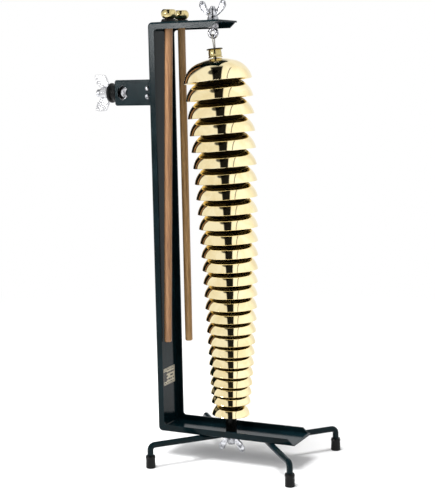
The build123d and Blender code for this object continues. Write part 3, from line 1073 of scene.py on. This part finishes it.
@dataclass
class Hardware:
    """Eye bolt, stud, nuts and washers on the line of bells."""

    finishes: Finishes
    eye_x: float = 16.5 * MM
    stud_x: float = BellLine.stud_x
    eye_z: float = 446.5 * MM
    ring_radius: float = 4.1 * MM
    wire_radius: float = 1.9 * MM
    shank_radius: float = 2.95 * MM
    bore: float = 3.0 * MM
    pitch: float = 1.0 * MM
    root_depth: float = 0.5 * MM

    def build_eye_bolt(self) -> None:
        """Bends the eye and threads its shank."""
        ring = bmesh.new()
        bmesh.ops.create_circle(ring, radius=self.wire_radius, segments=20)
        Maker.placed(ring, Matrix.Translation((self.ring_radius, 0, 0)))
        bmesh.ops.spin(
            ring, geom=ring.edges, cent=(0, 0, 0), axis=(0, 1, 0), angle=FULL_TURN, steps=56, use_merge=True
        )
        bmesh.ops.remove_doubles(ring, verts=ring.verts, dist=1e-6)
        bmesh.ops.recalc_face_normals(ring, faces=ring.faces)
        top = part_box("eye_bolt")[1][2] - self.eye_z
        start = self.ring_radius
        core = self.shank_radius - self.root_depth
        neck = [(0, start), (core, start), (core, top - 0.6 * MM), (core - 0.6 * MM, top), (0, top)]
        shank = Maker.spun(neck, 40, closed=False)
        turns = int((top - start) / self.pitch) - 3
        ridge = Maker.thread(self.shank_radius, self.pitch, turns, start + 2.2 * MM)
        mesh = Maker.merge([ring, shank, ridge])
        Maker.placed(mesh, Matrix.Translation((self.eye_x, 0, self.eye_z)))
        Maker.piece(mesh, "bent_eye_bolt", self.finishes.zinc, "stand", "zinc_steel", ["eye_bolt"])

    def build_stud(self) -> None:
        """Threads the stud that holds the foot of the line."""
        low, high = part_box("bottom_stud")
        length = high[2] - low[2]
        core = self.shank_radius - self.root_depth
        rod = [(0, 0), (core - 0.5 * MM, 0), (core, 0.5 * MM), (core, length), (0, length)]
        shank = Maker.spun(rod, 40, closed=False)
        ridge = Maker.thread(self.shank_radius, self.pitch, int(length / self.pitch) - 2, 1.1 * MM)
        mesh = Maker.merge([shank, ridge])
        Maker.placed(mesh, Matrix.Translation((self.stud_x, 0, low[2])))
        Maker.piece(mesh, "threaded_stud", self.finishes.zinc, "stand", "zinc_steel", ["bottom_stud"])

    def build_hex_nut(self) -> None:
        """Cuts the hex nut that locks the eye bolt under the arm."""
        low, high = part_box("eye_bolt_nut")
        height = high[2] - low[2]
        radius = (high[0] - low[0]) / 2
        mesh = bmesh.new()
        bmesh.ops.create_cone(mesh, cap_ends=True, segments=6, radius1=radius, radius2=radius, depth=height)
        Maker.soften(mesh, 0.35 * MM, 3)
        Maker.placed(mesh, Matrix.Translation((self.eye_x, 0, (low[2] + high[2]) / 2)))
        Maker.piece(mesh, "lock_nut", self.finishes.zinc, "stand", "zinc_steel", ["eye_bolt_nut"])

    def build_washers(self) -> None:
        """Stamps the two washers, with their slightly rolled edges."""
        for node in ("washer_top", "washer_bottom"):
            low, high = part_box(node)
            radius = (high[0] - low[0]) / 2
            height = high[2] - low[2]
            mesh = Maker.spun([(self.bore, 0), (radius, 0), (radius, height), (self.bore, height)], 56)
            Maker.soften(mesh, 0.3 * MM, 3)
            Maker.placed(mesh, Matrix.Translation(((low[0] + high[0]) / 2, 0, low[2])))
            Maker.piece(mesh, f"stamped_{node}", self.finishes.zinc, "stand", "zinc_steel", [node])

    def build_wing_nuts(self) -> None:
        """Makes the wing nuts above the top arm and below the bottom arm."""
        top = Matrix.Translation((self.eye_x, 0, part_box("wing_nut_top")[0][2]))
        under = Matrix.Translation((self.stud_x, 0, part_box("wing_nut_bottom")[1][2]))
        flipped = under @ Matrix.Rotation(math.pi, 4, "X")
        for name, place, body in (("top", top, "top_nut"), ("bottom", flipped, "bottom_nut")):
            WingNut(
                f"cast_wing_nut_{name}",
                f"wing_nut_{name}",
                body,
                "chrome_plate",
                self.finishes.chrome,
                place,
                bore=self.bore,
                half_span=15 * MM,
                height=19 * MM,
                hub=5.8 * MM,
                wing=SLIM_WING,
            ).build()

    def build(self) -> None:
        """Makes all of the hardware."""
        self.build_eye_bolt()
        self.build_stud()
        self.build_hex_nut()
        self.build_washers()
        self.build_wing_nuts()


# ---------------------------------------------------------------- beaters
@dataclass
class Beaters:
    """Two wooden sticks with brass heads that hang through rubber grommets."""

    finishes: Finishes
    beater_x: float = -27.1 * MM
    spacing: float = 14 * MM
    arm_top: float = 459 * MM
    lean: float = math.radians(1.84)
    rest_height: float = 3.35 * MM
    head_radius: float = 8.1 * MM
    head_height: float = 9.4 * MM
    stick_radius: float = 4 * MM

    def axis(self, side: str) -> Matrix:
        """Where a beater crosses the arm's top, its Z up along the stick.

        Args:
            side: front or back.

        Returns:
            The matrix.
        """
        sign = -1 if side == "front" else 1
        place = Matrix.Translation((self.beater_x, sign * self.spacing, self.arm_top))
        return place @ Matrix.Rotation(self.lean, 4, "Y") if side == "front" else place

    def build_head(self, side: str) -> None:
        """Turns the barrel-shaped head of a beater.

        Args:
            side: front or back.
        """
        r, h = self.head_radius, self.head_height
        bore = self.stick_radius + 0.05 * MM
        profile = [(bore, 0), (5.2 * MM, 0)]
        profile += arc(profile[-1], (0.9 * r, 0.2 * h), (r, 0.5 * h), 9)
        profile += arc(profile[-1], (0.9 * r, 0.84 * h), (6.0 * MM, 0.985 * h), 9)
        profile += [(2.6 * MM, h), (0, h)]
        mesh = Maker.spun(profile, 72, closed=False)
        Maker.placed(mesh, self.axis(side) @ Matrix.Translation((0, 0, self.rest_height)))
        node = f"beater_head_{side}"
        Maker.piece(mesh, f"turned_{node}", self.finishes.fitting_brass, f"beater_{side}", "brass", [node])

    def build_grommets(self) -> None:
        """Moulds the two grommets in the top arm."""
        outline = in_mm((4.7, -3.4), (6.8, -3.4), (6.8, -1.8), (6.2, -1.8))
        outline += in_mm((6.2, 0), (8.2, 0), (8.2, 0.7), (6.8, 3.0), (4.7, 3.0))
        moulds = []
        for y in (-self.spacing, self.spacing):
            mould = Maker.spun(outline, 56)
            Maker.soften(mould, 0.3 * MM, 2)
            moulds.append(Maker.placed(mould, Matrix.Translation((self.beater_x, y, self.arm_top))))
        mesh = Maker.merge(moulds)
        nodes = ["beater_grommets"]
        Maker.piece(mesh, "moulded_grommets", self.finishes.rubber, "stand", "black_rubber", nodes)

    def build(self) -> None:
        """Makes both beaters and their grommets."""
        for side in ("front", "back"):
            self.build_head(side)
        self.build_grommets()
        Maker.dress(self.finishes.tan_wood, "beater_stick_front")
        Maker.dress(self.finishes.honey_wood, "beater_stick_back")


# ---------------------------------------------------------------- stand
@dataclass
class Stand:
    """The folded frame and the bent rods that it stands on."""

    finishes: Finishes
    tip_radius: float = 5.1 * MM
    tip_height: float = 13.5 * MM
    rod_radius: float = 3.175 * MM

    def build_feet(self) -> None:
        """Moulds the four rubber caps, each with a bead round its mouth."""
        low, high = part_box("rubber_feet")
        bore = self.rod_radius + 0.02 * MM
        r, h = self.tip_radius, self.tip_height
        profile = [(0, 0), (r - 1.0 * MM, 0)]
        profile += arc(profile[-1], (r - 0.3 * MM, 0.25 * MM), (r, 0.9 * MM), 4)
        profile += [(r - 0.25 * MM, 0.55 * h), (r - 0.25 * MM, h - 3.6 * MM)]
        profile += arc(profile[-1], (r, h - 2.0 * MM), (r - 0.5 * MM, h - 0.2 * MM), 7)
        profile += [(r - 1.0 * MM, h), (bore, h - 0.1 * MM), (bore, 2.0 * MM), (0, 2.0 * MM)]
        caps = []
        for x in (low[0] + r, high[0] - r):
            for y in (low[1] + r, high[1] - r):
                cap = Maker.spun(profile, 48, closed=False)
                caps.append(Maker.placed(cap, Matrix.Translation((x, y, low[2]))))
        mesh = Maker.merge(caps)
        Maker.piece(mesh, "moulded_feet", self.finishes.rubber, "stand", "black_rubber", ["rubber_feet"])

    def build(self) -> None:
        """Dresses the steel and makes the feet."""
        Maker.dress(self.finishes.powder, "frame_post", "frame_top_arm", "frame_bottom_arm")
        Maker.dress(self.finishes.powder, "leg_rod_left", "leg_rod_right")
        Maker.dress(self.finishes.label, "label_plate")
        self.build_feet()


# ---------------------------------------------------------------- clamp
@dataclass
class RodClamp:
    """The clamp on the post: bracket, block, eye bolt, sleeve and wing nut."""

    finishes: Finishes
    centre_z: float = 387.5 * MM
    rod_x: float = -86.3 * MM
    screw_x: float = -56.1 * MM
    screw_pitch: float = 8.6 * MM
    cheek_outer: float = 11 * MM
    cheek: float = 2 * MM
    sleeve_x: float = -95.4 * MM
    sleeve_length: float = 11.8 * MM
    sleeve_radius: float = 11.2 * MM
    sleeve_waist: float = 8.2 * MM
    shank_radius: float = 3.95 * MM

    def outward(self, x: float) -> Matrix:
        """The clamp's axis at a place along X, its Z away from the post and its X upwards."""
        turned = Matrix(((0, 0, -1, 0), (0, 1, 0, 0), (1, 0, 0, 0), (0, 0, 0, 1)))
        return Matrix.Translation((x, 0, self.centre_z)) @ turned

    def build_screws(self) -> None:
        """Makes the four domed screws that hold the block."""
        dome = in_mm((0, -7), (1.9, -7), (1.9, 0), (2.9, 0), (3.0, 0.35))
        dome += arc(dome[-1], *in_mm((2.3, 1.55), (0.6, 2.18)), 8)
        dome += in_mm((0, 2.2))
        screws = []
        for side in (-1, 1):
            for step in (-0.5, 0.5):
                screw = Maker.spun(dome, 40, closed=False)
                turn = Matrix.Rotation(-side * math.pi / 2, 4, "X")
                spot = Matrix.Translation(
                    (self.screw_x, side * self.cheek_outer, self.centre_z + step * self.screw_pitch)
                )
                screws.append(Maker.placed(screw, spot @ turn))
        mesh = Maker.merge(screws)
        Maker.piece(mesh, "domed_screws", self.finishes.chrome, "stand", "chrome_plate", ["clamp_screws"])

    def build_window_liners(self) -> None:
        """Lines the two windows with the bare metal of their cut edges."""
        outline = in_mm((0, 8.15), (5.7, 3.97), (5.7, -3.97))
        outline += [(-x, -z) for x, z in outline]
        skin, proud = 0.25 * MM, 0.1 * MM
        liners = []
        for side in (-1, 1):
            mesh = bmesh.new()
            face = mesh.faces.new([mesh.verts.new((x, 0, z)) for x, z in outline])
            bmesh.ops.inset_region(
                mesh, faces=[face], thickness=skin, use_even_offset=True, use_boundary=True
            )
            bmesh.ops.delete(mesh, geom=[face], context="FACES")
            grown = bmesh.ops.extrude_face_region(mesh, geom=mesh.faces[:])["geom"]
            moved = [item for item in grown if isinstance(item, bmesh.types.BMVert)]
            bmesh.ops.translate(mesh, verts=moved, vec=(0, self.cheek + proud, 0))
            bmesh.ops.recalc_face_normals(mesh, faces=mesh.faces)
            near = self.cheek_outer - self.cheek if side > 0 else -self.cheek_outer - proud
            liners.append(Maker.placed(mesh, Matrix.Translation((self.rod_x, near, self.centre_z))))
        Maker.piece(Maker.merge(liners), "window_edges", self.finishes.zinc, "stand", "zinc_steel")

    def build_sleeve(self) -> None:
        """Moulds the spool that the wing nut presses on."""
        length = self.sleeve_length
        bore = self.shank_radius + 0.05 * MM
        wide, waist = self.sleeve_radius, self.sleeve_waist
        profile = [(bore, 0), (wide - 0.8 * MM, 0)]
        profile += arc(profile[-1], (wide, 0.16 * length), (wide - 0.3 * MM, 0.28 * length), 7)
        profile += [(waist + 0.4 * MM, 0.35 * length), (waist, 0.4 * length), (waist, 0.6 * length)]
        profile += [(waist + 0.4 * MM, 0.66 * length), (wide - 0.9 * MM, 0.73 * length)]
        profile += arc(profile[-1], (wide - 0.6 * MM, 0.84 * length), (wide - 1.5 * MM, length), 7)
        profile += [(bore, length)]
        mesh = Maker.spun(profile, 72)
        Maker.placed(mesh, self.outward(self.sleeve_x))
        Maker.piece(mesh, "moulded_sleeve", self.finishes.plastic, "stand", "black_plastic", ["clamp_sleeve"])

    def build_wing_nut(self) -> None:
        """Casts the large wing nut."""
        low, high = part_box("clamp_wing_nut")
        WingNut(
            "cast_clamp_nut",
            "clamp_wing_nut",
            "clamp_nut",
            "die_cast_zinc",
            self.finishes.cast,
            self.outward(high[0]),
            bore=self.shank_radius + 0.05 * MM,
            half_span=(high[2] - low[2]) / 2,
            height=high[0] - low[0],
            hub=8 * MM,
            wing=BROAD_WING,
            ribs=3,
        ).build()

    def build(self) -> None:
        """Makes every piece of the clamp."""
        Maker.dress(self.finishes.powder, "clamp_bracket", "clamp_block")
        Maker.dress(self.finishes.chrome, "clamp_eye_bolt")
        self.build_screws()
        self.build_window_liners()
        self.build_sleeve()
        self.build_wing_nut()


# ---------------------------------------------------------------- studio
@dataclass
class Surroundings:
    """The white world round the object. Mirrors also see its dark flags and one bright strip.

    Angles are in degrees, to the right of the way from the object to the camera and above level.
    A flag turns the white by its gain, so that -1 makes it black.
    """

    azimuth: float
    white: float = 1.0
    fill: float = 0.62
    slabs: Sequence[tuple[float, float, float, float]] = (
        (-0.075, 0.235, 0.025, -0.99),
        (0.46, 0.022, 0.008, -0.85),
    )
    discs: Sequence[tuple[Point, float, float, float]] = (
        ((-30, 58), 13, 3, -0.9),
        ((-150, 36), 28, 6, -0.96),
        ((60, 14), 52, 24, 0.3),
    )
    strip_foot: Point = (0.018, 0.044)
    strip_head: Point = (0.075, 0.09)
    strip_angle: float = -52
    strip_half: float = 6
    strip_strength: float = 36

    def __post_init__(self) -> None:
        """Starts an empty world."""
        world = bpy.data.worlds.new("studio")
        bpy.context.scene.world = world
        world.use_nodes = True
        self.tree = world.node_tree
        self.tree.nodes.clear()
        self.sight = self.add("ShaderNodeTexCoord").outputs["Generated"]

    def add(self, kind: str, *inputs: object, **settings: object) -> bpy.types.Node:
        """Adds a node.

        Args:
            kind: Blender's name for the node type.
            *inputs: Sockets or constants for its first inputs, in order.
            **settings: Properties of the node.

        Returns:
            The new node.
        """
        node = self.tree.nodes.new(kind)
        for key, value in settings.items():
            setattr(node, key, value)
        for number, value in enumerate(inputs):
            if isinstance(value, Socket):
                self.tree.links.new(value, node.inputs[number])
            else:
                node.inputs[number].default_value = value
        return node

    def heading(self, angle: float, height: float = 0) -> tuple[float, float, float]:
        """A direction in the studio.

        Args:
            angle: Degrees to the right of the way from the object to the camera.
            height: Degrees above level.

        Returns:
            The unit direction.
        """
        turn, lift = self.azimuth + math.radians(angle), math.radians(height)
        return (math.sin(turn) * math.cos(lift), -math.cos(turn) * math.cos(lift), math.sin(lift))

    def facing(self, vector: Socket, angle: float, height: float = 0) -> Socket:
        """How far a vector points along a heading."""
        way = self.heading(angle, height)
        return self.add("ShaderNodeVectorMath", vector, way, operation="DOT_PRODUCT").outputs["Value"]

    def step(self, value: Socket, edges: Point, low: float, high: float) -> Socket:
        """A soft step.

        Args:
            value: What is followed.
            edges: Where the step starts and ends.
            low: Result before it.
            high: Result after it.

        Returns:
            The result.
        """
        node = self.add("ShaderNodeMapRange", value, *edges, low, high, interpolation_type="SMOOTHSTEP")
        return node.outputs["Result"]

    def math(self, operation: str, *values: Socket | float) -> Socket:
        """A math node's result."""
        return self.add("ShaderNodeMath", *values, operation=operation).outputs["Value"]

    def near(self, vector: Socket, way: Point, reach: float, soft: float, gain: float) -> Socket:
        """Goes from 1 to 1 + gain round a direction.

        Args:
            vector: What is followed.
            way: The direction's angle and height.
            reach: Degrees from it to the edge.
            soft: Half the width of the soft edge.
            gain: Change inside.

        Returns:
            The factor.
        """
        edges = (math.cos(math.radians(reach + soft)), math.cos(math.radians(max(reach - soft, 0.1))))
        return self.step(self.facing(vector, *way), edges, 1, 1 + gain)

    def slab(self, centre: float, half_width: float, soft: float, gain: float) -> Socket:
        """Goes from 1 to 1 + gain in an upright slab that faces the object.

        Args:
            centre: How far the slab lies to the right, as a share of its distance.
            half_width: Half its width.
            soft: Half the width of its soft edge.
            gain: Change inside.

        Returns:
            The factor.
        """
        away = self.math("ABSOLUTE", self.math("SUBTRACT", self.facing(self.sight, 90), centre))
        across = self.step(away, (half_width - soft, half_width + soft), 1, 0)
        cover = self.math("MULTIPLY", across, self.step(self.facing(self.sight, 0), (-0.2, 0.1), 0, 1))
        return self.math("MULTIPLY_ADD", cover, gain, 1.0)

    def strip(self) -> Socket:
        """The bright strip low on the left, which ends at its foot, its head and its two sides.

        Returns:
            Its strength in each direction.
        """
        height = self.add("ShaderNodeSeparateXYZ", self.sight).outputs["Z"]
        flat = self.add("ShaderNodeVectorMath", self.sight, (1, 1, 0), operation="MULTIPLY").outputs["Vector"]
        level = self.add("ShaderNodeVectorMath", flat, operation="NORMALIZE").outputs["Vector"]
        beside = self.near(level, (self.strip_angle, 0), self.strip_half, 2, -1)
        foot, head = self.step(height, self.strip_foot, 0, 1), self.step(height, self.strip_head, 1, 0)
        ends = self.math("MULTIPLY", foot, head)
        cover = self.math("MULTIPLY", ends, self.math("SUBTRACT", 1.0, beside))
        return self.math("MULTIPLY", cover, self.strip_strength)

    def build(self) -> None:
        """Makes the world."""
        shades = [self.slab(*slab) for slab in self.slabs]
        shades += [self.near(self.sight, *disc) for disc in self.discs]
        shade = shades[0]
        for other in shades[1:]:
            shade = self.math("MULTIPLY", shade, other)
        mirrored = self.math("ADD", shade, self.strip())
        rays = self.tree.nodes.new("ShaderNodeLightPath")
        fill = self.add("ShaderNodeMix", rays.outputs["Is Diffuse Ray"])
        fill.inputs["A"].default_value = self.white
        fill.inputs["B"].default_value = self.fill
        strength = self.add("ShaderNodeMix", rays.outputs["Is Glossy Ray"])
        self.tree.links.new(fill.outputs["Result"], strength.inputs["A"])
        self.tree.links.new(mirrored, strength.inputs["B"])
        lamp = self.add("ShaderNodeBackground", (1, 1, 1, 1), strength.outputs["Result"])
        self.add("ShaderNodeOutputWorld", lamp.outputs["Background"])


@dataclass
class Studio:
    """Camera, lights, white surroundings and floor."""

    eye: tuple[float, float, float] = (0.5695, -1.1397, 0.3978)
    azimuth: float = math.radians(25.89)
    pitch: float = math.radians(7.76)
    roll: float = math.radians(-1.19)
    lens: float = 88.8
    floor_fade: Point = (0.35, 1.1)

    def build_camera(self) -> None:
        """Puts the camera at its viewing angle."""
        data = bpy.data.cameras.new("camera")
        data.sensor_width = 36
        data.lens = self.lens
        data.clip_end = 50
        camera = bpy.data.objects.new("camera", data)
        bpy.context.scene.collection.objects.link(camera)
        forward = Vector(
            (
                -math.sin(self.azimuth) * math.cos(self.pitch),
                math.cos(self.azimuth) * math.cos(self.pitch),
                -math.sin(self.pitch),
            )
        )
        level = Vector((math.cos(self.azimuth), math.sin(self.azimuth), 0))
        upright = level.cross(forward)
        right = math.cos(self.roll) * level + math.sin(self.roll) * upright
        turn = Matrix((right, right.cross(forward), -forward)).transposed()
        camera.matrix_world = Matrix.Translation(self.eye) @ turn.to_4x4()
        bpy.context.scene.camera = camera

    def build_floor(self) -> None:
        """Lays a pale floor that fades to the white surroundings far from the object."""
        mesh = bmesh.new()
        bmesh.ops.create_circle(mesh, cap_ends=True, radius=30, segments=96)
        data = bpy.data.meshes.new("floor")
        mesh.to_mesh(data)
        mesh.free()
        floor = bpy.data.objects.new("floor", data)
        bpy.context.scene.collection.objects.link(floor)
        bench = NodeBench("pale_floor")
        paint = bench.noise(bench.place(), 14, 2)
        tone = bench.ramp(paint, [(0, (0.90, 0.90, 0.91)), (1, (0.93, 0.93, 0.93))])
        bench.join(tone, bench.shader.inputs["Base Color"])
        bench.set(Roughness=0.9, Specular_IOR_Level=0.1)
        glow = bench.add("ShaderNodeEmission")
        glow.inputs["Color"].default_value = (1, 1, 1, 1)
        blend = bench.add("ShaderNodeMixShader")
        source = bench.add("ShaderNodeTexCoord")
        distance = bench.add("ShaderNodeVectorMath", operation="LENGTH")
        bench.join(source.outputs["Object"], distance.inputs[0])
        fade = bench.add("ShaderNodeMapRange", interpolation_type="SMOOTHSTEP")
        fade.inputs["From Min"].default_value, fade.inputs["From Max"].default_value = self.floor_fade
        bench.join(distance.outputs["Value"], fade.inputs["Value"])
        bench.join(fade.outputs["Result"], blend.inputs["Fac"])
        bench.join(bench.shader.outputs["BSDF"], blend.inputs[1])
        bench.join(glow.outputs["Emission"], blend.inputs[2])
        output = bench.tree.get_output_node("ALL")
        bench.join(blend.outputs["Shader"], output.inputs["Surface"])
        data.materials.append(bench.material)

    def build_lights(self) -> None:
        """Hangs a broad soft light overhead and a smaller one to the left."""
        for name, spot, size, power in (
            ("overhead", (-0.15, -0.35, 1.5), 0.7, 26.0),
            ("left_box", (-0.9, -0.9, 0.9), 0.7, 8.0),
        ):
            data = bpy.data.lights.new(name, "AREA")
            data.shape = "SQUARE"
            data.size = size
            data.energy = power
            lamp = bpy.data.objects.new(name, data)
            bpy.context.scene.collection.objects.link(lamp)
            aim = (Vector((0, 0, 0.1)) - Vector(spot)).to_track_quat("-Z", "Y")
            lamp.matrix_world = Matrix.Translation(spot) @ aim.to_matrix().to_4x4()
            lamp.visible_glossy = False

    def build(self) -> None:
        """Sets up the whole studio."""
        self.build_camera()
        self.build_floor()
        Surroundings(self.azimuth).build()
        self.build_lights()
        bpy.context.scene.view_settings.view_transform = "Standard"
        log.info("studio: camera, floor, world and lights")


def main() -> None:
    """Builds the bell tree piece by piece."""
    logging.basicConfig(level=logging.INFO, format="%(message)s")
    Studio().build()
    finishes = Finishes()
    for assembly in (Stand, BellLine, Hardware, Beaters, RodClamp):
        log.info("building %s", assembly.__name__)
        assembly(finishes).build()


if __name__ == "__main__":
    main()
